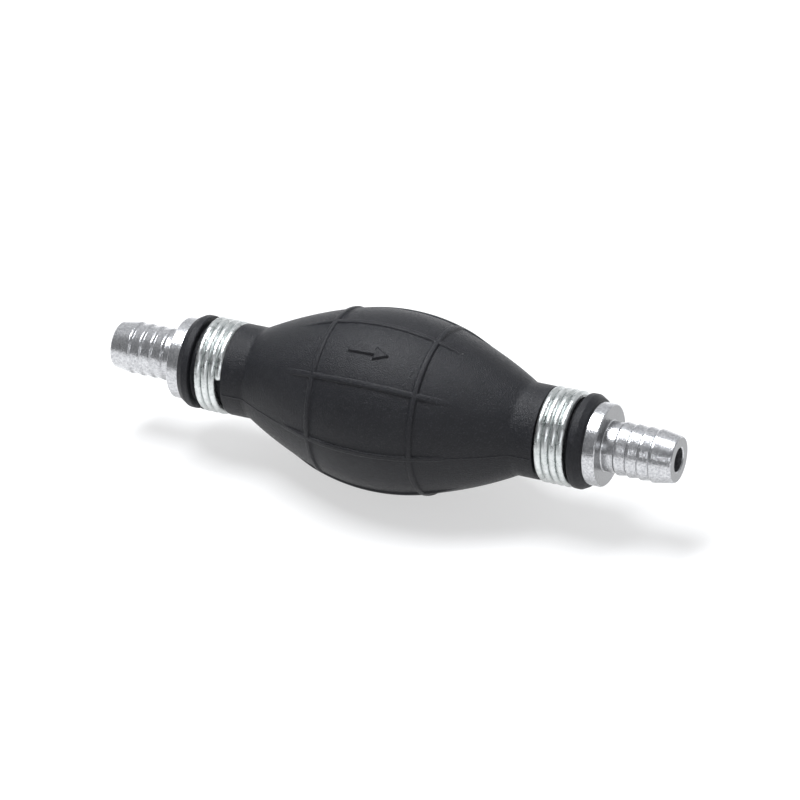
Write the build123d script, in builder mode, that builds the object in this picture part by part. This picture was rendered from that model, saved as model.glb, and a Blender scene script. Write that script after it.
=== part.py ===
"""Siphon bulb pump: a ribbed rubber bulb between two barbed hose tails, each holding a check valve.

Frame: +X is the flow direction and the pump's axis, from the inlet to the outlet, +Z is up, and
the origin is the centre of the bulb. The mould parting plane of the bulb is the XY plane.
"""

import os
from math import cos, radians, sin

from build123d import *

# ---------------------------------------------------------------- driving dimensions, millimetres
# Bulb, outside
BULB_RADIUS = 23.5
CROWN_ARC_RADIUS = 54.0
CROWN_ARC_ANGLE = 16.0
NECK_START_X = 37.4
NECK_RADIUS = 12.1
NECK_FILLET = 3.0
WIRE_GROOVE_X = 43.4
LIP_X = 53.2
LIP_RADIUS = 12.3
LIP_EDGE_X = 55.0
LIP_END_RADIUS = 11.3

# Bulb, inside
CAVITY_RADIUS = 20.0
CAVITY_END_X = 37.0
CAVITY_END_RADIUS = 8.6

# Raised ribs and flow arrow
RIB_WIDTH = 2.0
RIB_HEIGHT = 0.4
RING_RIB_X = 14.2
MERIDIAN_RIBS = 8
MERIDIAN_RIB_END_X = 24.0
MERIDIAN_RIB_END_RADIUS = 18.45
ARROW_ANGLE = 66.0
ARROW_CENTRE_X = -0.7
ARROW_LENGTH = 11.0
ARROW_HEAD_LENGTH = 3.8
ARROW_HEAD_WIDTH = 3.6
ARROW_SHAFT_WIDTH = 1.0

# Walls of the bulb that a hand squeezes
SQUEEZE_HALF_LENGTH = 27.0
SQUEEZE_HALF_WIDTH = 14.0
SQUEEZE_CLEARANCE = 0.3

# Hose tail, outside
STEM_START_X = 36.0
STEM_RADIUS = 8.2
STEM_RIDGE_X = (42.0, 46.5, 51.0)
STEM_RIDGE_LENGTH = 1.6
STEM_RIDGE_HEIGHT = 0.35
FLANGE_X = 56.8
FLANGE_THICKNESS = 3.4
FLANGE_RADIUS = 10.7
FLANGE_CHAMFER = 0.3
FIRST_CREST_X = 64.0
BARB_PITCH = 3.15
BARB_COUNT = 4
CREST_RADIUS = 6.9
CREST_LAND = 0.4
VALLEY_RADIUS = 6.5
BARB_STEP = 0.55
TIP_X = 79.0
TIP_RADIUS = 6.05
TIP_CHAMFER = 0.3

# Hose tail, inside
BORE_RADIUS = 3.1
CHAMBER_RADIUS = 6.5
CHAMBER_END_X = 54.0
CIRCLIP_GROOVE_X = 37.2
CIRCLIP_GROOVE_WIDTH = 1.0
CIRCLIP_GROOVE_RADIUS = 7.1

# Wire binding on each neck
WIRE_RADIUS = 1.0
WIRE_PITCH = 2.02
WIRE_GROOVE_RADIUS = 10.35
WIRE_GAP = 0.03
INLET_WIRE_TURNS = 3.8
INLET_WIRE_START_ANGLE = 142.0
OUTLET_WIRE_TURNS = 3.6
OUTLET_WIRE_START_ANGLE = -57.0

# Check valve, measured along the flow from the upstream face of its seat
SEAT_THICKNESS = 3.0
SEAT_PORT_RADIUS = 3.0
SEAT_PORT_CHAMFER = 0.4
RING_FIT = 0.03
O_RING_CENTRE = 1.5
O_RING_SECTION = 0.48
O_RING_GROOVE_WIDTH = 1.2
O_RING_GROOVE_RADIUS = 5.5
SEAL_THICKNESS = 0.9
SEAL_RADIUS = 4.6
POPPET_HEAD_RADIUS = 4.8
POPPET_HEAD_THICKNESS = 1.2
POPPET_NOSE_RADIUS = 1.9
POPPET_NOSE_LENGTH = 1.9
POPPET_STEM_RADIUS = 1.2
POPPET_STEM_END = 14.6
VALVE_LIFT = 2.0
LIFT_STOP_GAP = 0.05
GUIDE_START = 13.4
GUIDE_END = 15.8
GUIDE_RING_INNER_RADIUS = 5.2
GUIDE_HUB_RADIUS = 3.0
GUIDE_BORE_RADIUS = 1.29
GUIDE_SPOKES = 3
GUIDE_SPOKE_WIDTH = 1.4
SPRING_COIL_RADIUS = 2.45
SPRING_WIRE_RADIUS = 0.25
SPRING_TURNS = 5
CIRCLIP_THICKNESS = 0.9
CIRCLIP_OUTER_RADIUS = 7.05
CIRCLIP_INNER_RADIUS = 5.9
CIRCLIP_GAP = 2.6
CIRCLIP_EAR_RADIUS = 0.95
CIRCLIP_EAR_HOLE_RADIUS = 0.4
CIRCLIP_EAR_ANGLE = 22.0

# ------------------------------------------------------------------------------ worked-out places
FLANGE_END_X = FLANGE_X + FLANGE_THICKNESS
CHAMBER_MOUTH_X = CIRCLIP_GROOVE_X + CIRCLIP_GROOVE_WIDTH
FIRST_WIRE_X = WIRE_GROOVE_X + WIRE_GAP + WIRE_RADIUS
WIRE_CENTRE_RADIUS = WIRE_GROOVE_RADIUS + WIRE_GAP + WIRE_RADIUS
SEAT_RING_RADIUS = CHAMBER_RADIUS - RING_FIT
POPPET_HEAD_START = SEAT_THICKNESS + SEAL_THICKNESS
POPPET_HEAD_END = POPPET_HEAD_START + POPPET_HEAD_THICKNESS
POPPET_COLLAR_END = GUIDE_START - VALVE_LIFT - LIFT_STOP_GAP

# Side of the bulb, and place along X of the valve seat's upstream face, for each hose tail
HOSE_TAILS = {"inlet": (-1, -CHAMBER_END_X), "outlet": (1, CHAMBER_MOUTH_X)}


os.makedirs("parts", exist_ok=True)


def write(piece, name):
    """Label a finished piece and write its STEP file."""
    piece.label = name
    export_step(piece, f"parts/{name}.step")


# ------------------------------------------------------------------------------------------- bulb
def make_skin(proud=0.0):
    """The bulb and its necks as one solid of revolution, standing proud of the true surface."""
    with BuildPart() as skin:
        with BuildSketch(Plane.XY) as half:
            with BuildLine():
                top = (0, BULB_RADIUS + proud)
                shoulder = (NECK_START_X, NECK_RADIUS + proud)
                crown = JernArc(top, (1, 0), CROWN_ARC_RADIUS, -CROWN_ARC_ANGLE)
                TangentArc(crown @ 1, shoulder, tangent=crown % 1)
                Polyline(shoulder, (LIP_X, NECK_RADIUS + proud), (LIP_X, 0), (0, 0), top)
            make_face()
            fillet(half.vertices().sort_by_distance(shoulder)[0], NECK_FILLET)
        revolve(axis=Axis.X)
        mirror(about=Plane.YZ)
    return skin.part


proud_skin = make_skin(RIB_HEIGHT)

with BuildPart() as ring_ribs:
    with Locations((RING_RIB_X, 0, 0), (-RING_RIB_X, 0, 0)):
        Cylinder(2 * BULB_RADIUS, RIB_WIDTH, rotation=(0, 90, 0))
    add(proud_skin, mode=Mode.INTERSECT)

with BuildPart() as meridian_ribs:
    for rib_pair in range(MERIDIAN_RIBS // 2):
        rib_angle = rib_pair * 360 / MERIDIAN_RIBS
        Box(2 * MERIDIAN_RIB_END_X, RIB_WIDTH, 4 * BULB_RADIUS, rotation=(rib_angle, 0, 0))
    with BuildSketch(Plane.XY):
        with BuildLine():
            inner_end = (-MERIDIAN_RIB_END_X, MERIDIAN_RIB_END_RADIUS)
            outer_end = (MERIDIAN_RIB_END_X, MERIDIAN_RIB_END_RADIUS)
            ThreePointArc(inner_end, (0, BULB_RADIUS + RIB_HEIGHT), outer_end)
            Polyline(outer_end, (MERIDIAN_RIB_END_X, 0), (-MERIDIAN_RIB_END_X, 0), inner_end)
        make_face()
    revolve(axis=Axis.X, mode=Mode.INTERSECT)

with BuildPart() as flow_arrow:
    arrow_normal = (0, -cos(radians(ARROW_ANGLE)), sin(radians(ARROW_ANGLE)))
    arrow_tail_x = ARROW_CENTRE_X - ARROW_LENGTH / 2
    arrow_tip_x = ARROW_CENTRE_X + ARROW_LENGTH / 2
    arrow_neck_x = arrow_tip_x - ARROW_HEAD_LENGTH
    with BuildSketch(Plane(origin=(0, 0, 0), x_dir=(1, 0, 0), z_dir=arrow_normal)):
        with BuildLine():
            Polyline(
                (arrow_tail_x, ARROW_SHAFT_WIDTH / 2),
                (arrow_neck_x, ARROW_SHAFT_WIDTH / 2),
                (arrow_neck_x, ARROW_HEAD_WIDTH / 2),
                (arrow_tip_x, 0),
                (arrow_neck_x, -ARROW_HEAD_WIDTH / 2),
                (arrow_neck_x, -ARROW_SHAFT_WIDTH / 2),
                (arrow_tail_x, -ARROW_SHAFT_WIDTH / 2),
                close=True,
            )
        make_face()
    extrude(amount=2 * BULB_RADIUS)
    add(proud_skin, mode=Mode.INTERSECT)

with BuildPart() as whole_bulb:
    add(make_skin())
    add(ring_ribs.part)
    add(meridian_ribs.part)
    add(flow_arrow.part)

    # Lips that close against the flanges of the hose tails
    with BuildSketch(Plane.XY):
        with BuildLine():
            Polyline(
                (LIP_X, 0),
                (LIP_X, LIP_RADIUS),
                (LIP_EDGE_X, LIP_RADIUS),
                (FLANGE_X, LIP_END_RADIUS),
                (FLANGE_X, 0),
                close=True,
            )
        make_face()
        mirror(about=Plane.YZ)
    revolve(axis=Axis.X)

    # Groove for the wire binding in each neck
    with BuildSketch(Plane.XY):
        groove_width = LIP_X - WIRE_GROOVE_X
        groove_depth = BULB_RADIUS - WIRE_GROOVE_RADIUS
        with Locations((WIRE_GROOVE_X + groove_width / 2, WIRE_GROOVE_RADIUS + groove_depth / 2)):
            Rectangle(groove_width, groove_depth)
        mirror(about=Plane.YZ)
    revolve(axis=Axis.X, mode=Mode.SUBTRACT)

    # Cavity, and the neck bores that grip the stems of the hose tails
    with BuildSketch(Plane.XY):
        with BuildLine():
            cavity_ends = [(side * CAVITY_END_X, CAVITY_END_RADIUS) for side in (1, -1)]
            ThreePointArc(cavity_ends[0], (0, CAVITY_RADIUS), cavity_ends[1])
            Polyline(
                cavity_ends[1],
                (-CAVITY_END_X, STEM_RADIUS),
                (-FLANGE_X, STEM_RADIUS),
                (-FLANGE_X, 0),
                (FLANGE_X, 0),
                (FLANGE_X, STEM_RADIUS),
                (CAVITY_END_X, STEM_RADIUS),
                cavity_ends[0],
            )
        make_face()
    revolve(axis=Axis.X, mode=Mode.SUBTRACT)

with BuildPart() as bulb_shell:
    add(whole_bulb.part)
    with BuildSketch(Plane.XY):
        Ellipse(SQUEEZE_HALF_LENGTH + SQUEEZE_CLEARANCE, SQUEEZE_HALF_WIDTH + SQUEEZE_CLEARANCE)
    extrude(amount=2 * BULB_RADIUS, both=True, mode=Mode.SUBTRACT)
write(bulb_shell.part, "bulb_shell")


def make_squeeze_wall(direction):
    """The oval of the bulb's wall that a hand presses in, above or below the parting plane."""
    with BuildPart() as wall:
        add(whole_bulb.part)
        with BuildSketch(Plane.XY):
            Ellipse(SQUEEZE_HALF_LENGTH, SQUEEZE_HALF_WIDTH)
        extrude(amount=direction * 2 * BULB_RADIUS, mode=Mode.INTERSECT)
    return wall.part


write(make_squeeze_wall(1), "upper_squeeze_wall")
write(make_squeeze_wall(-1), "lower_squeeze_wall")


# -------------------------------------------------------------------------------------- hose tail
def barb_outline():
    """Corners (x, radius) of the barbs, from the flange out to the tip."""
    corners = [(FLANGE_END_X, VALLEY_RADIUS)]
    for barb in range(BARB_COUNT):
        crest_x = FIRST_CREST_X + barb * BARB_PITCH
        corners.append((crest_x - BARB_STEP, VALLEY_RADIUS))
        corners.append((crest_x, CREST_RADIUS))
        corners.append((crest_x + CREST_LAND, CREST_RADIUS))
    corners.append((TIP_X - TIP_CHAMFER, TIP_RADIUS))
    corners.append((TIP_X, TIP_RADIUS - TIP_CHAMFER))
    return corners


def stem_outline():
    """Corners (x, radius) of the stem inside the neck, whose ridges bite into the rubber."""
    corners = [(STEM_START_X, STEM_RADIUS)]
    for ridge_x in STEM_RIDGE_X:
        corners.append((ridge_x, STEM_RADIUS))
        corners.append((ridge_x + STEM_RIDGE_LENGTH, STEM_RADIUS + STEM_RIDGE_HEIGHT))
        corners.append((ridge_x + STEM_RIDGE_LENGTH, STEM_RADIUS))
    corners.append((FLANGE_X, STEM_RADIUS))
    return corners


def make_hose_tail(side):
    """Turned hose tail with its barbs, flange, stem and stepped bore, on one side of the bulb."""
    outline = stem_outline()
    outline += [
        (FLANGE_X, FLANGE_RADIUS),
        (FLANGE_END_X - FLANGE_CHAMFER, FLANGE_RADIUS),
        (FLANGE_END_X, FLANGE_RADIUS - FLANGE_CHAMFER),
    ]
    outline += barb_outline()
    outline += [
        (TIP_X, BORE_RADIUS + TIP_CHAMFER),
        (TIP_X - TIP_CHAMFER, BORE_RADIUS),
        (CHAMBER_END_X, BORE_RADIUS),
        (CHAMBER_END_X, CHAMBER_RADIUS),
        (CHAMBER_MOUTH_X, CHAMBER_RADIUS),
        (CHAMBER_MOUTH_X, CIRCLIP_GROOVE_RADIUS),
        (CIRCLIP_GROOVE_X, CIRCLIP_GROOVE_RADIUS),
        (CIRCLIP_GROOVE_X, CHAMBER_RADIUS),
        (STEM_START_X, CHAMBER_RADIUS),
    ]
    with BuildPart() as hose_tail:
        with BuildSketch(Plane.XY):
            with BuildLine():
                Polyline(*[(side * x, radius) for x, radius in outline], close=True)
            make_face()
        revolve(axis=Axis.X)
    return hose_tail.part


def make_coil(start_x, coil_radius, wire_radius, pitch, turns, start_angle):
    """Round wire wound right-handed along the flow axis, with square-cut ends.

    The start angle turns the coil's first end from +Z towards -Y.
    """
    with BuildPart() as coil:
        with BuildLine() as route:
            Helix(pitch, pitch * turns, coil_radius, center=(start_x, 0, 0), direction=(1, 0, 0))
        with BuildSketch(Plane(origin=route.line @ 0, z_dir=route.line % 0)):
            Circle(wire_radius)
        sweep(path=route.line, is_frenet=True)
    return coil.part.rotate(Axis.X, start_angle)


# ------------------------------------------------------------------------------------ check valve
def make_valve_seat(seat_x):
    """Seat ring with a port, and a groove round its rim for the O-ring."""
    groove_start = seat_x + O_RING_CENTRE - O_RING_GROOVE_WIDTH / 2
    groove_end = groove_start + O_RING_GROOVE_WIDTH
    with BuildPart() as seat:
        with BuildSketch(Plane.XY):
            with BuildLine():
                Polyline(
                    (seat_x, SEAT_PORT_RADIUS + SEAT_PORT_CHAMFER),
                    (seat_x + SEAT_PORT_CHAMFER, SEAT_PORT_RADIUS),
                    (seat_x + SEAT_THICKNESS, SEAT_PORT_RADIUS),
                    (seat_x + SEAT_THICKNESS, SEAT_RING_RADIUS),
                    (groove_end, SEAT_RING_RADIUS),
                    (groove_end, O_RING_GROOVE_RADIUS),
                    (groove_start, O_RING_GROOVE_RADIUS),
                    (groove_start, SEAT_RING_RADIUS),
                    (seat_x, SEAT_RING_RADIUS),
                    close=True,
                )
            make_face()
        revolve(axis=Axis.X)
    return seat.part


def make_seat_o_ring(seat_x):
    """O-ring between the seat's groove and the wall of the chamber."""
    with BuildPart() as o_ring:
        with Locations((seat_x + O_RING_CENTRE, 0, 0)):
            Torus((O_RING_GROOVE_RADIUS + CHAMBER_RADIUS) / 2, O_RING_SECTION, rotation=(0, 90, 0))
    return o_ring.part


def make_poppet(seat_x):
    """Poppet: a nose that centres in the port, a head, a stop collar and a guided stem."""
    with BuildPart() as poppet:
        with BuildSketch(Plane.XY):
            with BuildLine():
                Polyline(
                    (seat_x + POPPET_HEAD_START - POPPET_NOSE_LENGTH, 0),
                    (seat_x + POPPET_HEAD_START - POPPET_NOSE_LENGTH, POPPET_NOSE_RADIUS),
                    (seat_x + POPPET_HEAD_START, POPPET_NOSE_RADIUS),
                    (seat_x + POPPET_HEAD_START, POPPET_HEAD_RADIUS),
                    (seat_x + POPPET_HEAD_END, POPPET_HEAD_RADIUS),
                    (seat_x + POPPET_HEAD_END, POPPET_NOSE_RADIUS),
                    (seat_x + POPPET_COLLAR_END, POPPET_NOSE_RADIUS),
                    (seat_x + POPPET_COLLAR_END, POPPET_STEM_RADIUS),
                    (seat_x + POPPET_STEM_END, POPPET_STEM_RADIUS),
                    (seat_x + POPPET_STEM_END, 0),
                    close=True,
                )
            make_face()
        revolve(axis=Axis.X)
    return poppet.part


def make_poppet_seal(seat_x):
    """Rubber ring between the poppet's head and the seat."""
    with BuildPart() as seal:
        with BuildSketch(Plane.YZ.offset(seat_x + SEAT_THICKNESS)):
            Circle(SEAL_RADIUS)
            Circle(POPPET_NOSE_RADIUS, mode=Mode.SUBTRACT)
        extrude(amount=SEAL_THICKNESS)
    return seal.part


def make_valve_spring(seat_x):
    """Compression spring between the poppet's head and the hub of the guide."""
    spring_start = seat_x + POPPET_HEAD_END + SPRING_WIRE_RADIUS
    coil_length = GUIDE_START - POPPET_HEAD_END - 2 * SPRING_WIRE_RADIUS
    pitch = coil_length / SPRING_TURNS
    return make_coil(spring_start, SPRING_COIL_RADIUS, SPRING_WIRE_RADIUS, pitch, SPRING_TURNS, 0)


def make_spring_guide(seat_x):
    """Spoked ring whose hub guides the stem and backs the spring."""
    spoke_length = (GUIDE_RING_INNER_RADIUS + CHAMBER_RADIUS) / 2
    with BuildPart() as guide:
        with BuildSketch(Plane.YZ.offset(seat_x + GUIDE_START)):
            Circle(SEAT_RING_RADIUS)
            Circle(GUIDE_RING_INNER_RADIUS, mode=Mode.SUBTRACT)
            Circle(GUIDE_HUB_RADIUS)
            with PolarLocations(spoke_length / 2, GUIDE_SPOKES, start_angle=90):
                Rectangle(spoke_length, GUIDE_SPOKE_WIDTH)
            Circle(GUIDE_BORE_RADIUS, mode=Mode.SUBTRACT)
        extrude(amount=GUIDE_END - GUIDE_START)
    return guide.part


def make_retaining_ring(side):
    """Internal retaining ring with two eared ends, in the groove at the mouth of the chamber."""
    middle_x = side * (CIRCLIP_GROOVE_X + CIRCLIP_GROOVE_WIDTH / 2)
    ear_ring_radius = CIRCLIP_INNER_RADIUS - CIRCLIP_EAR_RADIUS / 2
    ears = PolarLocations(ear_ring_radius, 2, 90 - CIRCLIP_EAR_ANGLE, 2 * CIRCLIP_EAR_ANGLE, endpoint=True)
    with BuildPart() as retaining_ring:
        with BuildSketch(Plane.YZ.offset(middle_x)):
            Circle(CIRCLIP_OUTER_RADIUS)
            Circle(CIRCLIP_INNER_RADIUS, mode=Mode.SUBTRACT)
            with ears:
                Circle(CIRCLIP_EAR_RADIUS)
                Circle(CIRCLIP_EAR_HOLE_RADIUS, mode=Mode.SUBTRACT)
            with Locations((0, CIRCLIP_OUTER_RADIUS)):
                Rectangle(CIRCLIP_GAP, CIRCLIP_OUTER_RADIUS, mode=Mode.SUBTRACT)
        extrude(amount=CIRCLIP_THICKNESS / 2, both=True)
    return retaining_ring.part


# ----------------------------------------------------------------------------- one set at each end
for end, (side, seat_x) in HOSE_TAILS.items():
    write(make_hose_tail(side), f"{end}_hose_tail")
    write(make_valve_seat(seat_x), f"{end}_valve_seat")
    write(make_seat_o_ring(seat_x), f"{end}_seat_o_ring")
    write(make_poppet(seat_x), f"{end}_valve_poppet")
    write(make_poppet_seal(seat_x), f"{end}_poppet_seal")
    write(make_valve_spring(seat_x), f"{end}_valve_spring")
    write(make_spring_guide(seat_x), f"{end}_spring_guide")
    write(make_retaining_ring(side), f"{end}_retaining_ring")

inlet_wire = make_coil(
    -FIRST_WIRE_X - INLET_WIRE_TURNS * WIRE_PITCH,
    WIRE_CENTRE_RADIUS,
    WIRE_RADIUS,
    WIRE_PITCH,
    INLET_WIRE_TURNS,
    INLET_WIRE_START_ANGLE,
)
write(inlet_wire, "inlet_binding_wire")

outlet_wire = make_coil(
    FIRST_WIRE_X,
    WIRE_CENTRE_RADIUS,
    WIRE_RADIUS,
    WIRE_PITCH,
    OUTLET_WIRE_TURNS,
    OUTLET_WIRE_START_ANGLE,
)
write(outlet_wire, "outlet_binding_wire")
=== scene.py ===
import math

import bmesh
import bpy
import numpy as np
from mathutils import Matrix, Vector
from mathutils.geometry import tessellate_polygon


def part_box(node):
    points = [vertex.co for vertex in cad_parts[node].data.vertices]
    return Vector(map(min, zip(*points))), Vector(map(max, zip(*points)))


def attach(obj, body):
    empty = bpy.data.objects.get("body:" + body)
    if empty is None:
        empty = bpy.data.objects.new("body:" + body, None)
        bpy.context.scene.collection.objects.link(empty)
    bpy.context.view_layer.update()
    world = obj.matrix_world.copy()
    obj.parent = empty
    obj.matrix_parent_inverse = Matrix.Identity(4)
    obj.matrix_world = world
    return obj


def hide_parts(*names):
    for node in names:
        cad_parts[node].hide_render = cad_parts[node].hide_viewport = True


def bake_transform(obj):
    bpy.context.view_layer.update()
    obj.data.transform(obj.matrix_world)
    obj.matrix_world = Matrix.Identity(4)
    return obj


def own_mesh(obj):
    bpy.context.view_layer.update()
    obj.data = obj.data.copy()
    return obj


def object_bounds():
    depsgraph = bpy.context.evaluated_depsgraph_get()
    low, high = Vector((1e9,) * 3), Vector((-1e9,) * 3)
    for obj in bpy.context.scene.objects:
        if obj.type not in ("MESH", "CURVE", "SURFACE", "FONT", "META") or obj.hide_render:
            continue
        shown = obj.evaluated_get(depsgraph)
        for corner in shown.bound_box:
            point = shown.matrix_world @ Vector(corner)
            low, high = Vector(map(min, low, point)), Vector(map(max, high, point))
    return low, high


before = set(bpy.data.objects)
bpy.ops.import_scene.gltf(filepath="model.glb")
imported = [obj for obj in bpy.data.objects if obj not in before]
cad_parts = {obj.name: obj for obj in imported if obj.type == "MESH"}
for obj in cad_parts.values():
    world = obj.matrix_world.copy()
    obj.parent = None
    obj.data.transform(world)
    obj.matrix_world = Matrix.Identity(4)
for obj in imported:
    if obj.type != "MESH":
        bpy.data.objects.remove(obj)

cad_box = [list(corner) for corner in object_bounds()]

MM = 0.001

# ------------------------------------------------------------------ places, from the CAD frame
shell_low, shell_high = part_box("bulb_shell")
tail_low, tail_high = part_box("outlet_hose_tail")
upper_low, upper_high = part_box("upper_squeeze_wall")
FLANGE_X = shell_high.x
TIP_X = tail_high.x
STEM_START_X = tail_low.x
FLANGE_RADIUS = tail_high.z
RIB_HEIGHT = 0.4 * MM
BULB_RADIUS = upper_high.z - RIB_HEIGHT

# --------------------------------------------------------------------- bulb, as in the CAD shell
CROWN_ARC_RADIUS = 54 * MM
CROWN_ARC_ANGLE = math.radians(16)
NECK_START_X = 37.4 * MM
NECK_RADIUS = 12.1 * MM
NECK_FILLET = 3 * MM
WIRE_GROOVE_X = 43.4 * MM
WIRE_GROOVE_RADIUS = 10.35 * MM
LIP_X = 53.2 * MM
LIP_EDGE_X = 55.0 * MM
LIP_RADIUS = 12.3 * MM
LIP_END_RADIUS = 11.3 * MM
CAVITY_RADIUS = 20 * MM
CAVITY_END_X = 37 * MM
CAVITY_END_RADIUS = 8.6 * MM
STEM_RADIUS = 8.2 * MM

RIB_HALF_WIDTH = 0.78 * MM
RIB_RELIEF = 0.5 * MM
RING_RIB_X = 14.2 * MM
RIB_SPACING = math.radians(45)
RIB_FADE_START = 15.5 * MM
RIB_FADE_END = 24.5 * MM
PARTING_HEIGHT = 0.12 * MM
PARTING_HALF_WIDTH = 0.32 * MM
ARROW_ANGLE = math.radians(66)
ARROW_CENTRE_X = -0.7 * MM
ARROW_LENGTH = 11 * MM
ARROW_HEAD_LENGTH = 3.8 * MM
ARROW_HEAD_WIDTH = 3.6 * MM
ARROW_SHAFT_WIDTH = 1.1 * MM
ARROW_EDGE = 0.24 * MM
ARROW_HEIGHT = 0.6 * MM

# ------------------------------------------------------------------------------------- hose tail
FLANGE_THICKNESS = 3.4 * MM
FIRST_CREST_X = 64.0 * MM
BARB_PITCH = 3.15 * MM
BARB_COUNT = 4
CREST_RADIUS = 6.9 * MM
CREST_LAND = 0.4 * MM
VALLEY_RADIUS = 6.5 * MM
BARB_STEP = 0.55 * MM
TIP_RADIUS = 6.05 * MM
BORE_RADIUS = 3.1 * MM
CHAMBER_RADIUS = 6.5 * MM
CHAMBER_END_X = 54 * MM
CIRCLIP_GROOVE = (37.2 * MM, 38.2 * MM)
CIRCLIP_GROOVE_RADIUS = 7.1 * MM

# ------------------------------------------------------------------------------------------ wire
WIRE_RADIUS = 1.0 * MM
WIRE_PITCH = 2.02 * MM
WIRE_COIL_RADIUS = WIRE_GROOVE_RADIUS + WIRE_RADIUS + 0.03 * MM
WIRE_FIRST_X = WIRE_GROOVE_X + WIRE_RADIUS + 0.03 * MM
INLET_WIRE_TURNS = 3.8
INLET_WIRE_START = math.radians(142)
OUTLET_WIRE_TURNS = 3.6
OUTLET_WIRE_START = math.radians(-57)

# ---------------------------------------------------------------------------------------- camera
CAMERA_AZIMUTH = math.radians(27.48)
CAMERA_ELEVATION = math.radians(35.71)
CAMERA_ROLL = math.radians(-5.15)
CAMERA_DISTANCE = 1.21
CAMERA_LENS_MM = 212.1
CAMERA_AIM_RIGHT = 1.81 * MM
CAMERA_AIM_UP = 0.16 * MM

LIGHT_COLOUR = (0.96, 0.975, 1.0)


# ================================================================================ mesh helpers
def graded(start, end, spacing):
    """Places from start to end, as far apart as spacing(place) asks."""
    fine = np.linspace(start, end, 4001)
    density = 1 / np.array([spacing(place) for place in fine])
    steps = (density[1:] + density[:-1]) / 2 * np.diff(fine)
    total = np.concatenate([[0], np.cumsum(steps)])
    count = math.ceil(total[-1])
    return np.interp(np.linspace(0, total[-1], count + 1), total, fine)


def smoothstep(low, high, value):
    t = np.clip((value - low) / (high - low), 0, 1)
    return t * t * (3 - 2 * t)


def rounded(corners, closed=False, segments=5):
    """A line through (x, r, fillet radius) corners, each rounded and held by a close point."""
    count = len(corners)
    points = []
    for i, (x, r, radius) in enumerate(corners):
        here = Vector((x, r))
        at_end = not closed and i in (0, count - 1)
        if radius == 0 or at_end:
            points.append(here)
            continue
        before = Vector(corners[i - 1][:2]) - here
        after = Vector(corners[(i + 1) % count][:2]) - here
        before_length, after_length = before.length, after.length
        before.normalize()
        after.normalize()
        half = before.angle(after) / 2
        reach = min(radius / math.tan(half), before_length * 0.42, after_length * 0.42)
        true_radius = reach * math.tan(half)
        centre = here + (before + after).normalized() * (true_radius / math.sin(half))
        first, last = here + before * reach, here + after * reach
        hold = min(true_radius * 0.3, before_length * 0.05, after_length * 0.05)
        points.append(first + before * hold)
        for step in range(segments + 1):
            t = step / segments
            spoke = (first - centre).lerp(last - centre, t)
            points.append(centre + spoke.normalized() * true_radius)
        points.append(last + after * hold)
    return [(p.x, p.y) for p in points]


def new_object(name, bm):
    """An object from a bmesh, which is freed; its faces keep the shading they were given."""
    mesh = bpy.data.meshes.new(name)
    bm.to_mesh(mesh)
    bm.free()
    piece = bpy.data.objects.new(name, mesh)
    bpy.context.scene.collection.objects.link(piece)
    return piece


def set_uvs(bm, face_uvs):
    layer = bm.loops.layers.uv.new("UVMap")
    for face, coordinates in face_uvs:
        for loop, uv in zip(face.loops, coordinates):
            loop[layer].uv = uv


def lathe(name, outline, segments=144):
    """A closed outline of (x, r) turned about the flow axis."""
    bm = bmesh.new()
    rings = []
    for x, r in outline:
        ring = []
        for step in range(segments):
            turn = 2 * math.pi * step / segments
            ring.append(bm.verts.new((x, -r * math.cos(turn), r * math.sin(turn))))
        rings.append(ring)
    for i, ring in enumerate(rings):
        following = rings[(i + 1) % len(rings)]
        for j in range(segments):
            k = (j + 1) % segments
            face = bm.faces.new((ring[j], ring[k], following[k], following[j]))
            face.smooth = True
    bmesh.ops.recalc_face_normals(bm, faces=bm.faces[:])
    return new_object(name, bm)


def tube(name, centres, radii, sides=20):
    """A round bar along a list of centres, with flat ends and UVs along its length."""
    centres = [Vector(c) for c in centres]
    bm = bmesh.new()
    rings, lengths = [], [0.0]
    for i, centre in enumerate(centres):
        tangent = (centres[min(i + 1, len(centres) - 1)] - centres[max(i - 1, 0)]).normalized()
        outward = Vector((0, centre.y, centre.z)).normalized()
        across = tangent.cross(outward).normalized()
        outward = across.cross(tangent).normalized()
        ring = []
        for step in range(sides):
            turn = 2 * math.pi * step / sides
            offset = outward * math.cos(turn) + across * math.sin(turn)
            ring.append(bm.verts.new(centre + offset * radii[i]))
        rings.append(ring)
        if i:
            lengths.append(lengths[-1] + (centre - centres[i - 1]).length)
    face_uvs = []
    for i in range(len(rings) - 1):
        for j in range(sides):
            k = (j + 1) % sides
            face = bm.faces.new((rings[i][j], rings[i][k], rings[i + 1][k], rings[i + 1][j]))
            face.smooth = True
            low, high = lengths[i] / MM, lengths[i + 1] / MM
            left, right = j / sides, (j + 1) / sides
            face_uvs.append((face, ((low, left), (low, right), (high, right), (high, left))))
    for ring in (rings[0][::-1], rings[-1]):
        face = bm.faces.new(ring)
        face_uvs.append((face, [(0, 0)] * sides))
    set_uvs(bm, face_uvs)
    bmesh.ops.recalc_face_normals(bm, faces=bm.faces[:])
    return new_object(name, bm)


# =============================================================================== material helpers
def new_material(name):
    material = bpy.data.materials.new(name)
    material.use_nodes = True
    tree = material.node_tree
    return material, tree, tree.nodes["Principled BSDF"]


def add_node(tree, kind, inputs=None, **settings):
    """A node with its settings and inputs; an input is a value or another node's socket."""
    node = tree.nodes.new(kind)
    for key, value in settings.items():
        setattr(node, key, value)
    for key, value in (inputs or {}).items():
        if isinstance(value, bpy.types.NodeSocket):
            tree.links.new(value, node.inputs[key])
        else:
            node.inputs[key].default_value = value
    return node


def maths(tree, operation, *values):
    """The result of a Math node, whose values are numbers or other nodes' sockets."""
    inputs = dict(enumerate(values))
    return add_node(tree, "ShaderNodeMath", inputs, operation=operation).outputs[0]


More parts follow.
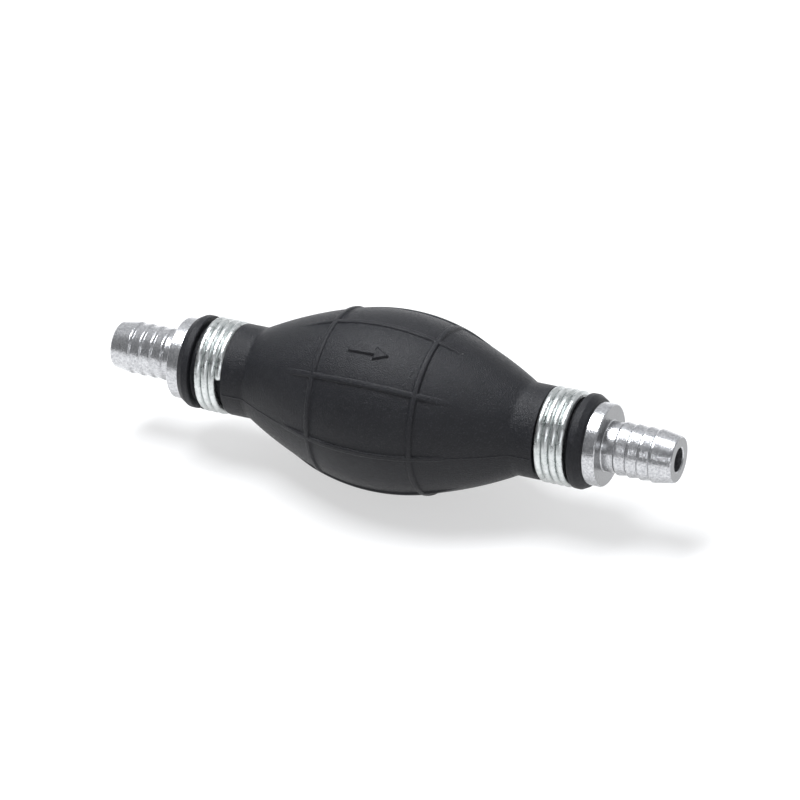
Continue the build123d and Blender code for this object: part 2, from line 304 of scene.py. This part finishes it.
def split(tree, vector):
    return add_node(tree, "ShaderNodeSeparateXYZ", {"Vector": vector}).outputs


def object_place(tree):
    return tree.nodes.new("ShaderNodeTexCoord").outputs["Object"]


def noise(tree, place, scale, detail=2.0, roughness=0.5):
    inputs = {"Vector": place, "Scale": scale, "Detail": detail, "Roughness": roughness}
    return add_node(tree, "ShaderNodeTexNoise", inputs).outputs["Fac"]


def remap(tree, value, low, high, new_low, new_high):
    inputs = {"Value": value, "From Min": low, "From Max": high}
    inputs.update({"To Min": new_low, "To Max": new_high})
    return add_node(tree, "ShaderNodeMapRange", inputs).outputs["Result"]


def mix_colour(tree, factor, first, second):
    node = tree.nodes.new("ShaderNodeMix")
    node.data_type = "RGBA"
    wanted = (("Factor", "VALUE", factor), ("A", "RGBA", first), ("B", "RGBA", second))
    for name, kind, value in wanted:
        socket = next(s for s in node.inputs if s.name == name and s.type == kind)
        if isinstance(value, bpy.types.NodeSocket):
            tree.links.new(value, socket)
        else:
            socket.default_value = value
    return next(s for s in node.outputs if s.type == "RGBA")


def colour_range(tree, value, first, second):
    """A colour between two (r, g, b), led by a noise value."""
    share = remap(tree, value, 0.3, 0.7, 0, 1)
    return mix_colour(tree, share, (*first, 1), (*second, 1))


def bump(tree, shader, height, strength, distance, previous=None):
    inputs = {"Height": height, "Strength": strength, "Distance": distance}
    if previous is not None:
        inputs["Normal"] = previous
    node = add_node(tree, "ShaderNodeBump", inputs)
    tree.links.new(node.outputs["Normal"], shader.inputs["Normal"])
    return node.outputs["Normal"]


def axis_radius(tree, place):
    """Distance of a place from the flow axis."""
    parts = split(tree, place)
    y_squared = maths(tree, "POWER", parts["Y"], 2.0)
    z_squared = maths(tree, "POWER", parts["Z"], 2.0)
    return maths(tree, "SQRT", maths(tree, "ADD", y_squared, z_squared))


def about_axis(tree, place):
    """Places that are the same all round the flow axis, for turning marks."""
    inputs = {"X": split(tree, place)["X"], "Y": axis_radius(tree, place)}
    return add_node(tree, "ShaderNodeCombineXYZ", inputs).outputs["Vector"]


# ==================================================================================== materials
def make_bulb_rubber():
    material, tree, shader = new_material("bulb_rubber")
    place = object_place(tree)
    patches = noise(tree, place, 45, 3)
    mottle = noise(tree, place, 420, 3, 0.6)
    grain = noise(tree, place, 3600, 2, 0.6)
    fine_grain = noise(tree, place, 2600, 1, 0.5)
    patch_share = remap(tree, patches, 0.35, 0.65, 0, 1)
    shade = mix_colour(tree, patch_share, (0.0072, 0.0075, 0.0098, 1), (0.0094, 0.0098, 0.0124, 1))
    mottle_share = remap(tree, mottle, 0.35, 0.7, 0, 0.35)
    shade = mix_colour(tree, mottle_share, shade, (0.0145, 0.0153, 0.0182, 1))
    cells = add_node(tree, "ShaderNodeTexVoronoi", {"Vector": place, "Scale": 330.0})
    speck = remap(tree, cells.outputs["Distance"], 0.035, 0.06, 1, 0)
    rare = add_node(tree, "ShaderNodeSeparateColor", {"Color": cells.outputs["Color"]}).outputs[0]
    dust = maths(tree, "MULTIPLY", speck, maths(tree, "GREATER_THAN", rare, 0.965))
    shade = mix_colour(tree, dust, shade, (0.42, 0.42, 0.41, 1))
    sparkle = remap(tree, fine_grain, 0.57, 0.70, 0, 0.3)
    shade = mix_colour(tree, sparkle, shade, (0.044, 0.046, 0.052, 1))
    tree.links.new(shade, shader.inputs["Base Color"])
    roughness = remap(tree, grain, 0.35, 0.62, 0.54, 0.32)
    tree.links.new(roughness, shader.inputs["Roughness"])
    shader.inputs["Specular IOR Level"].default_value = 0.25
    normal = bump(tree, shader, patches, 0.12, 0.002)
    normal = bump(tree, shader, grain, 1.0, 0.00018, normal)
    bump(tree, shader, fine_grain, 1.0, 0.00008, normal)
    return material


def make_turned_aluminium():
    material, tree, shader = new_material("turned_aluminium")
    place = object_place(tree)
    turning = noise(tree, about_axis(tree, place), 5200, 3, 0.6)
    broad = noise(tree, about_axis(tree, place), 900, 2)
    granular = noise(tree, place, 1700, 3, 0.65)
    smudge = noise(tree, place, 130, 3)
    shade = colour_range(tree, granular, (0.38, 0.385, 0.40), (0.71, 0.715, 0.73))
    facing = tree.nodes.new("ShaderNodeTexCoord").outputs["Normal"]
    along = maths(tree, "ABSOLUTE", split(tree, facing)["X"])
    end_face = remap(tree, along, 0.80, 0.95, 0, 1)
    shade = mix_colour(tree, end_face, shade, (0.24, 0.243, 0.247, 1))
    # painted shade: the inside of the bore is coloured near-black where the deep hole falls into
    # shade
    bore_edge = BORE_RADIUS + 0.05 * MM
    painted_bore_shade = remap(tree, axis_radius(tree, place), bore_edge, bore_edge - 0.15 * MM, 0, 1)
    shade = mix_colour(tree, painted_bore_shade, shade, (0.015, 0.015, 0.0155, 1))
    tree.links.new(shade, shader.inputs["Base Color"])
    shader.inputs["Metallic"].default_value = 0.88
    tree.links.new(remap(tree, smudge, 0.3, 0.7, 0.20, 0.30), shader.inputs["Roughness"])
    normal = bump(tree, shader, turning, 0.45, 0.00002)
    normal = bump(tree, shader, broad, 0.2, 0.00006, normal)
    bump(tree, shader, granular, 0.6, 0.00006, normal)
    return material


def make_galvanised_wire():
    material, tree, shader = new_material("galvanised_wire")
    place = object_place(tree)
    along = tree.nodes.new("ShaderNodeUVMap").outputs["UV"]
    twist = {"Vector": along, "Rotation": (0, 0, 0.05)}
    twisted = add_node(tree, "ShaderNodeMapping", twist).outputs["Vector"]
    stretch = {"Vector": twisted, "Scale": (0.9, 24.0, 1.0)}
    stretched = add_node(tree, "ShaderNodeMapping", stretch).outputs["Vector"]
    drawing = noise(tree, stretched, 1.0, 3, 0.6)
    spangle = noise(tree, place, 700, 3, 0.6)
    shade = colour_range(tree, spangle, (0.52, 0.55, 0.545), (0.78, 0.80, 0.795))
    tree.links.new(shade, shader.inputs["Base Color"])
    shader.inputs["Metallic"].default_value = 1.0
    tree.links.new(remap(tree, spangle, 0.3, 0.7, 0.24, 0.38), shader.inputs["Roughness"])
    normal = bump(tree, shader, drawing, 0.9, 0.00009)
    bump(tree, shader, spangle, 0.25, 0.00006, normal)
    return material


def make_grained(name, dark, light, scale, roughness, metallic=0.0, depth=0.00004, turned=False):
    """A plain part's material: mottled colour, uneven roughness and a fine bumped grain."""
    material, tree, shader = new_material(name)
    place = object_place(tree)
    grain = noise(tree, about_axis(tree, place) if turned else place, scale, 3, 0.6)
    cloud = noise(tree, place, scale / 9, 2)
    shade = colour_range(tree, cloud, dark, light)
    tree.links.new(shade, shader.inputs["Base Color"])
    shader.inputs["Metallic"].default_value = metallic
    uneven = remap(tree, cloud, 0.3, 0.7, roughness - 0.05, roughness + 0.05)
    tree.links.new(uneven, shader.inputs["Roughness"])
    bump(tree, shader, grain, 0.4, depth)
    return material


# ========================================================================================= bulb
def flank_arc():
    """Centre and radius of the arc that runs from the end of the crown's arc to the neck."""
    start = Vector((CROWN_ARC_RADIUS * math.sin(CROWN_ARC_ANGLE),
                    BULB_RADIUS - CROWN_ARC_RADIUS * (1 - math.cos(CROWN_ARC_ANGLE))))
    end = Vector((NECK_START_X, NECK_RADIUS))
    inward = Vector((-math.sin(CROWN_ARC_ANGLE), -math.cos(CROWN_ARC_ANGLE)))
    chord = end - start
    radius = chord.length_squared / (2 * chord.dot(inward))
    return start, start + inward * radius, radius


FLANK_START, FLANK_CENTRE, FLANK_RADIUS = flank_arc()


def neck_fillet():
    """Centre of the hollow fillet between the flank and the neck, and where it starts and ends."""
    height = NECK_RADIUS + NECK_FILLET
    reach = FLANK_RADIUS + NECK_FILLET
    along = math.sqrt(reach**2 - (height - FLANK_CENTRE.y) ** 2)
    centre = Vector((FLANK_CENTRE.x + along, height))
    touch = FLANK_CENTRE + (centre - FLANK_CENTRE) * (FLANK_RADIUS / reach)
    return centre, touch.x, centre.x


FILLET_CENTRE, FILLET_START_X, FILLET_END_X = neck_fillet()


def skin_radius(x):
    """Outer radius of the bulb and its neck at a distance x from the middle, without ribs."""
    x = abs(x)
    if x < FLANK_START.x:
        return BULB_RADIUS - CROWN_ARC_RADIUS + math.sqrt(CROWN_ARC_RADIUS**2 - x**2)
    if x < FILLET_START_X:
        return FLANK_CENTRE.y + math.sqrt(FLANK_RADIUS**2 - (x - FLANK_CENTRE.x) ** 2)
    if x < FILLET_END_X:
        return FILLET_CENTRE.y - math.sqrt(NECK_FILLET**2 - (x - FILLET_CENTRE.x) ** 2)
    return NECK_RADIUS


def arrow_corners():
    """Corners of the flow arrow as (along, across), from its centre."""
    tail, tip = -ARROW_LENGTH / 2, ARROW_LENGTH / 2
    neck = tip - ARROW_HEAD_LENGTH
    shaft, head = ARROW_SHAFT_WIDTH / 2, ARROW_HEAD_WIDTH / 2
    upper = [(tail, shaft), (neck, shaft), (neck, head), (tip, 0)]
    return upper + [(along, -across) for along, across in upper[-2::-1]]


def depth_inside(along, across, corners):
    """Distance into a polygon from its outline, negative outside it."""
    nearest = np.full(along.shape, np.inf)
    inside = np.zeros(along.shape, bool)
    for (x0, y0), (x1, y1) in zip(corners, corners[1:] + corners[:1]):
        edge = np.array([x1 - x0, y1 - y0])
        t = np.clip(((along - x0) * edge[0] + (across - y0) * edge[1]) / (edge @ edge), 0, 1)
        away = np.hypot(along - x0 - t * edge[0], across - y0 - t * edge[1])
        nearest = np.minimum(nearest, away)
        crosses = (y0 > across) != (y1 > across)
        height = y1 - y0 if y1 != y0 else 1.0
        inside ^= crosses & (along < (x1 - x0) * (across - y0) / height + x0)
    return np.where(inside, nearest, -nearest)


def rib_shape(off_centre):
    """Share of a rib's height off its centre line: a rounded top with steep sides."""
    return np.sqrt(1 - np.clip(off_centre / RIB_HALF_WIDTH, 0, 1) ** 4)


def relief(x, radius, angle):
    """Height of the ribs, the parting line and the arrow over the skin, on a grid of places."""
    ring = rib_shape(np.abs(np.abs(x) - RING_RIB_X))
    off_rib = np.abs((angle + RIB_SPACING / 2) % RIB_SPACING - RIB_SPACING / 2) * radius
    meridian = rib_shape(off_rib) * (1 - smoothstep(RIB_FADE_START, RIB_FADE_END, np.abs(x)))
    off_parting = np.abs((angle + math.pi / 2) % math.pi - math.pi / 2) * radius
    parting = 1 - smoothstep(0.1 * PARTING_HALF_WIDTH, PARTING_HALF_WIDTH, off_parting)
    arrow = depth_inside(x - ARROW_CENTRE_X, (angle - ARROW_ANGLE) * radius, arrow_corners())
    arrow = smoothstep(-ARROW_EDGE / 2, ARROW_EDGE / 2, arrow)
    ribs = np.maximum(ring, meridian) * RIB_RELIEF
    return np.maximum(np.maximum(ribs, arrow * ARROW_HEIGHT), parting * PARTING_HEIGHT)


def near(place, centre, half, fine, growth, coarse):
    """Spacing that is fine within half of a centre and grows to coarse away from it."""
    return min(coarse, fine + growth * max(0.0, abs(place - centre) - half))


def along_spacing(x):
    ring = near(abs(x), RING_RIB_X, 1.0 * MM, 0.11 * MM, 0.25, 1.0 * MM)
    fillet_middle = (FILLET_START_X + FILLET_END_X) / 2
    shoulder = near(abs(x), fillet_middle, 1.2 * MM, 0.25 * MM, 0.3, 1.0 * MM)
    arrow = near(x, ARROW_CENTRE_X, ARROW_LENGTH / 2 + 0.3 * MM, 0.16 * MM, 0.25, 1.0 * MM)
    return min(ring, shoulder, arrow)


def around_spacing(angle):
    off_rib = abs((angle + RIB_SPACING / 2) % RIB_SPACING - RIB_SPACING / 2)
    rib = near(off_rib, 0.0, math.radians(2.8), math.radians(0.28), 0.3, math.radians(1.8))
    arrow = near(angle, ARROW_ANGLE, math.radians(5.0), math.radians(0.4), 0.3, math.radians(1.8))
    return min(rib, arrow)


def make_bulb_half(name, first_angle, last_angle):
    """Half of the hollow bulb, cut at the mould's parting plane, with its relief as real shape."""
    skin_x = graded(-WIRE_GROOVE_X, WIRE_GROOVE_X, along_spacing)
    skin = [(x, skin_radius(x)) for x in skin_x]
    neck = [
        (WIRE_GROOVE_X, NECK_RADIUS, 0.0),
        (WIRE_GROOVE_X + 0.35 * MM, NECK_RADIUS - 0.05 * MM, 0.25 * MM),
        (WIRE_GROOVE_X + 0.35 * MM, WIRE_GROOVE_RADIUS, 0.4 * MM),
        (LIP_X - 0.05 * MM, WIRE_GROOVE_RADIUS, 0.4 * MM),
        (LIP_X, LIP_RADIUS, 0.45 * MM),
        (LIP_EDGE_X, LIP_RADIUS, 0.6 * MM),
        (FLANGE_X - 0.25 * MM, LIP_END_RADIUS + 0.15 * MM, 0.4 * MM),
        (FLANGE_X, LIP_END_RADIUS - 0.35 * MM, 0.15 * MM),
        (FLANGE_X, STEM_RADIUS, 0.1 * MM),
        (CAVITY_END_X, STEM_RADIUS, 0.2 * MM),
        (CAVITY_END_X, CAVITY_END_RADIUS, 0.0),
    ]
    right = rounded(neck)[1:]
    sag = CAVITY_RADIUS - CAVITY_END_RADIUS
    cavity_arc = (CAVITY_END_X**2 + sag**2) / (2 * sag)
    cavity_x = np.linspace(CAVITY_END_X, -CAVITY_END_X, 41)[1:-1]
    cavity = [(x, CAVITY_RADIUS - cavity_arc + math.sqrt(cavity_arc**2 - x**2)) for x in cavity_x]
    left = [(-x, r) for x, r in right[::-1]]
    loop = np.array(skin + right + cavity + left)
    angles = graded(first_angle, last_angle, around_spacing)

    slope = np.gradient(np.array([r for _, r in skin]), skin_x)
    normal = np.stack([-slope, np.ones_like(slope)], 1) / np.hypot(slope, 1)[:, None]
    skin_radii = np.array([r for _, r in skin])
    places = np.broadcast_arrays(skin_x[:, None], skin_radii[:, None], angles[None, :])
    height = relief(*places)
    grid_x = np.repeat(loop[:, :1], len(angles), 1)
    grid_r = np.repeat(loop[:, 1:], len(angles), 1)
    grid_x[: len(skin)] += height * normal[:, :1]
    grid_r[: len(skin)] += height * normal[:, 1:]

    bm = bmesh.new()
    vertices = []
    for row_x, row_r in zip(grid_x, grid_r):
        row = zip(row_x, row_r, angles)
        vertices.append([bm.verts.new((x, -r * math.cos(t), r * math.sin(t))) for x, r, t in row])
    for i, row in enumerate(vertices):
        ahead = vertices[(i + 1) % len(vertices)]
        for j in range(len(angles) - 1):
            bm.faces.new((row[j], row[j + 1], ahead[j + 1], ahead[j])).smooth = True
    flat_outline = [Vector((x, r, 0)) for x, r in loop]
    for triangle in tessellate_polygon([flat_outline]):
        for column in (0, -1):
            bm.faces.new([vertices[corner][column] for corner in triangle])
    bmesh.ops.recalc_face_normals(bm, faces=bm.faces[:])
    return new_object(name, bm)


def make_bulb(rubber):
    for half, first_angle, up in (("upper", 0.0, 1), ("lower", math.pi, -1)):
        piece = make_bulb_half(f"bulb_{half}_half", first_angle, first_angle + math.pi)
        piece.data.materials.append(rubber)
        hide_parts(f"{half}_squeeze_wall")
        if up == 1:
            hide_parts("bulb_shell")
        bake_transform(piece)


# ==================================================================================== hose tails
def tail_outline():
    """Closed outline of a hose tail, from the inner end of its stem out to the tip and back."""
    flange_end = FLANGE_X + FLANGE_THICKNESS
    corners = [
        (STEM_START_X, STEM_RADIUS, 0.3 * MM),
        (FLANGE_X, STEM_RADIUS, 0.1 * MM),
        (FLANGE_X, FLANGE_RADIUS, 0.15 * MM),
        (flange_end - 0.3 * MM, FLANGE_RADIUS, 0.12 * MM),
        (flange_end, FLANGE_RADIUS - 0.3 * MM, 0.12 * MM),
        (flange_end, VALLEY_RADIUS, 0.35 * MM),
    ]
    for barb in range(BARB_COUNT):
        crest_x = FIRST_CREST_X + barb * BARB_PITCH
        corners.append((crest_x - BARB_STEP, VALLEY_RADIUS, 0.15 * MM))
        corners.append((crest_x, CREST_RADIUS, 0.08 * MM))
        corners.append((crest_x + CREST_LAND, CREST_RADIUS, 0.2 * MM))
    corners += [
        (TIP_X - 0.3 * MM, TIP_RADIUS, 0.15 * MM),
        (TIP_X, TIP_RADIUS - 0.3 * MM, 0.12 * MM),
        (TIP_X, BORE_RADIUS + 0.3 * MM, 0.08 * MM),
        (TIP_X - 0.3 * MM, BORE_RADIUS, 0.1 * MM),
        (CHAMBER_END_X, BORE_RADIUS, 0.1 * MM),
        (CHAMBER_END_X, CHAMBER_RADIUS, 0.1 * MM),
        (CIRCLIP_GROOVE[1], CHAMBER_RADIUS, 0.05 * MM),
        (CIRCLIP_GROOVE[1], CIRCLIP_GROOVE_RADIUS, 0.05 * MM),
        (CIRCLIP_GROOVE[0], CIRCLIP_GROOVE_RADIUS, 0.05 * MM),
        (CIRCLIP_GROOVE[0], CHAMBER_RADIUS, 0.05 * MM),
        (STEM_START_X, CHAMBER_RADIUS, 0.1 * MM),
    ]
    return rounded(corners, closed=True)


def make_hose_tails(aluminium):
    for end, side in (("inlet", -1), ("outlet", 1)):
        piece = lathe(f"{end}_hose_tail_turned", [(side * x, r) for x, r in tail_outline()])
        piece.data.materials.append(aluminium)
        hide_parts(f"{end}_hose_tail")
        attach(piece, "pump_body")


# ========================================================================================= wires
def helix(start_x, radius, pitch, turns, start_angle, steps_per_turn=96):
    """Centres of a right-handed helix; its start angle turns its first end from +Z towards -Y."""
    count = round(turns * steps_per_turn)
    centres = []
    for step in range(count + 1):
        turn = step / steps_per_turn
        angle = start_angle + 2 * math.pi * turn
        y, z = -radius * math.sin(angle), radius * math.cos(angle)
        centres.append((start_x + pitch * turn, y, z))
    return centres


def make_wire(name, start_x, turns, start_angle, galvanised):
    centres = helix(start_x, WIRE_COIL_RADIUS, WIRE_PITCH, turns, start_angle)
    radii = [WIRE_RADIUS] * len(centres)
    for end in (0, -1):
        radii[end] = 0.86 * WIRE_RADIUS
    piece = tube(name, centres, radii)
    piece.data.materials.append(galvanised)
    return piece


def make_wires(galvanised):
    inlet_start_x = -WIRE_FIRST_X - INLET_WIRE_TURNS * WIRE_PITCH
    ends = (
        ("inlet", inlet_start_x, INLET_WIRE_TURNS, INLET_WIRE_START),
        ("outlet", WIRE_FIRST_X, OUTLET_WIRE_TURNS, OUTLET_WIRE_START),
    )
    for end, start_x, turns, start_angle in ends:
        piece = make_wire(f"{end}_wire_coil", start_x, turns, start_angle, galvanised)
        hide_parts(f"{end}_binding_wire")
        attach(piece, "pump_body")


# ================================================================================== inner pieces
def make_springs(steel):
    spring_turns, dead_turns = 5, 0.75
    for end in ("inlet", "outlet"):
        low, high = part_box(f"{end}_valve_spring")
        wire = 0.25 * MM
        coil = 2.45 * MM
        steps = 40
        centres, count = [], spring_turns * steps
        for step in range(count + 1):
            turn = step / steps
            angle = 2 * math.pi * turn
            spread = float(smoothstep(dead_turns * 0.5, spring_turns - dead_turns * 0.5, turn))
            advance = 0.12 * turn / spring_turns + 0.88 * spread
            x = low.x + wire + (high.x - low.x - 2 * wire) * advance
            centres.append((x, -coil * math.sin(angle), coil * math.cos(angle)))
        piece = tube(f"{end}_spring_coil", centres, [wire] * len(centres), 12)
        piece.data.materials.append(steel)
        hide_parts(f"{end}_valve_spring")
        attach(piece, "pump_body")
        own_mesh(piece)


def paint_inner_pieces():
    """Materials of the CAD pieces that stay as they are, by the ends of their names."""
    brass = make_grained(
        "seat_brass", (0.62, 0.45, 0.16), (0.80, 0.62, 0.27), 4200, 0.30, 1.0, 0.00003, True
    )
    nitrile = make_grained(
        "nitrile", (0.012, 0.012, 0.013), (0.022, 0.022, 0.023), 2600, 0.45
    )
    acetal = make_grained("acetal", (0.70, 0.68, 0.60), (0.80, 0.78, 0.71), 1500, 0.42)
    blackened = make_grained(
        "blackened_steel", (0.05, 0.05, 0.055), (0.10, 0.10, 0.105), 2600, 0.42, 1.0
    )
    finishes = {
        "valve_seat": brass,
        "seat_o_ring": nitrile,
        "poppet_seal": nitrile,
        "valve_poppet": acetal,
        "spring_guide": acetal,
        "retaining_ring": blackened,
    }
    for end in ("inlet", "outlet"):
        for piece, material in finishes.items():
            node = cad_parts[f"{end}_{piece}"]
            node.data.materials.clear()
            node.data.materials.append(material)


# ================================================================================ stage and light
def make_floor():
    bm = bmesh.new()
    size = 6.0
    bmesh.ops.create_grid(bm, x_segments=2, y_segments=2, size=size)
    floor = new_object("floor", bm)
    floor.location.z = cad_box[0][2] - 0.1 * MM
    material, tree, shader = new_material("pale_floor")
    cloud = noise(tree, object_place(tree), 3.0, 2)
    shade = colour_range(tree, cloud, (0.40, 0.40, 0.40), (0.42, 0.42, 0.42))
    tree.links.new(shade, shader.inputs["Base Color"])
    shader.inputs["Roughness"].default_value = 0.9
    shader.inputs["Specular IOR Level"].default_value = 0.1
    shader.inputs["Emission Color"].default_value = (1, 1, 1, 1)
    shader.inputs["Emission Strength"].default_value = 0.56
    floor.data.materials.append(material)


def add_area_light(name, place, size, power):
    """A rectangular soft light that faces the middle of the pump."""
    light = bpy.data.lights.new(name, "AREA")
    light.shape = "RECTANGLE"
    light.size, light.size_y = size
    light.energy = power
    light.color = LIGHT_COLOUR
    lamp = bpy.data.objects.new(name, light)
    lamp.location = place
    lamp.rotation_mode = "QUATERNION"
    lamp.rotation_quaternion = Vector(place).to_track_quat("Z", "Y")
    bpy.context.scene.collection.objects.link(lamp)


def light_scene():
    world = bpy.data.worlds.new("studio")
    world.use_nodes = True
    tree = world.node_tree
    direction = tree.nodes.new("ShaderNodeTexCoord").outputs["Generated"]
    parts = split(tree, direction)
    behind = remap(tree, parts["Y"], -0.1, 0.7, 0.0, 0.42)
    leftward = remap(tree, parts["X"], -0.8, 0.8, 1.25, 0.75)
    behind = maths(tree, "MULTIPLY", behind, leftward)
    in_front = remap(tree, parts["X"], -0.6, 0.6, 0.12, 0.26)
    glow = maths(tree, "ADD", behind, in_front)
    tree.links.new(glow, tree.nodes["Background"].inputs["Strength"])
    tree.nodes["Background"].inputs["Color"].default_value = (*LIGHT_COLOUR, 1)
    bpy.context.scene.world = world
    add_area_light("top_softbox", (-0.20, 0.09, 0.86), (0.60, 0.32), 13.4)
    add_area_light("front_fill", (0.42, -0.86, 0.50), (0.5, 0.36), 2.2)
    bpy.context.scene.view_settings.view_transform = "Standard"


def make_camera():
    azimuth, elevation = CAMERA_AZIMUTH, CAMERA_ELEVATION
    back = Vector((
        math.sin(azimuth) * math.cos(elevation),
        -math.cos(azimuth) * math.cos(elevation),
        math.sin(elevation),
    ))
    level_right = Vector((math.cos(azimuth), math.sin(azimuth), 0))
    level_up = back.cross(level_right)
    right = level_right * math.cos(CAMERA_ROLL) + level_up * math.sin(CAMERA_ROLL)
    up = back.cross(right)
    aim = right * CAMERA_AIM_RIGHT + up * CAMERA_AIM_UP
    data = bpy.data.cameras.new("camera")
    data.lens = CAMERA_LENS_MM
    data.sensor_width = 36.0
    camera = bpy.data.objects.new("camera", data)
    camera.rotation_mode = "QUATERNION"
    camera.rotation_quaternion = Matrix((right, up, back)).transposed().to_quaternion()
    camera.location = aim + back * CAMERA_DISTANCE
    bpy.context.scene.collection.objects.link(camera)
    bpy.context.scene.camera = camera


make_bulb(make_bulb_rubber())
make_hose_tails(make_turned_aluminium())
make_wires(make_galvanised_wire())
make_springs(make_grained("spring_steel", (0.50, 0.50, 0.51), (0.66, 0.66, 0.67), 2600, 0.28, 1.0))
paint_inner_pieces()
make_floor()
light_scene()
make_camera()
